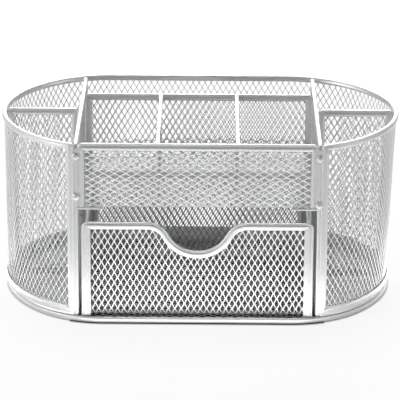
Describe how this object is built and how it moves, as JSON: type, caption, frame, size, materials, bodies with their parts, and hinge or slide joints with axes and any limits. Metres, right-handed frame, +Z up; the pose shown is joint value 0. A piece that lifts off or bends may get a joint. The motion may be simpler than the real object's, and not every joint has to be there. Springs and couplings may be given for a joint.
{
  "type": "desk organizer with drawer",
  "caption": "Oval mesh desk organizer with upright pen bays, a raised divided tray and a sliding front drawer with a finger scoop.",
  "frame": {"origin": "middle of the footprint, on the plane the base rail stands on", "axes": "+Z up; +X to the right of someone facing the drawer; -Y out of the front, the way the drawer opens"},
  "size_m": [0.22, 0.14, 0.104],
  "materials": {
    "strip": "satin silver paint",
    "mesh": "satin silver paint"
  },
  "bodies": {
    "organizer": {"base_rail": "strip", "wall_rim": "strip", "wall_hem": "strip", "front_post_right": "strip", "front_post_left": "strip", "side_divider_frame_right": "strip", "side_divider_frame_left": "strip", "middle_panel_frame": "strip", "front_panel_frame": "strip", "tray_divider_rim_right": "strip", "tray_divider_rim_left": "strip", "end_divider_frame_right": "strip", "end_divider_frame_left": "strip", "corner_weld_nubs": "strip", "base_mesh": "mesh", "back_wall_mesh": "mesh", "end_wall_mesh_right": "mesh", "end_wall_mesh_left": "mesh", "side_divider_mesh_right": "mesh", "side_divider_mesh_left": "mesh", "middle_panel_mesh": "mesh", "front_panel_mesh": "mesh", "tray_shelf_mesh": "mesh", "tray_divider_mesh_right": "mesh", "tray_divider_mesh_left": "mesh", "end_divider_mesh_right": "mesh", "end_divider_mesh_left": "mesh"},
    "drawer": {"drawer_front_frame": "strip", "drawer_side_rim_right": "strip", "drawer_side_rim_left": "strip", "drawer_back_frame": "strip", "drawer_front_mesh": "mesh", "drawer_floor_mesh": "mesh", "drawer_side_mesh_right": "mesh", "drawer_side_mesh_left": "mesh", "drawer_back_mesh": "mesh"}
  },
  "joints": [
    {"name": "drawer_slide", "type": "slide", "parent": "organizer", "child": "drawer", "axis": [0, -1, 0], "range_m": [0, 0.07]}
  ]
}
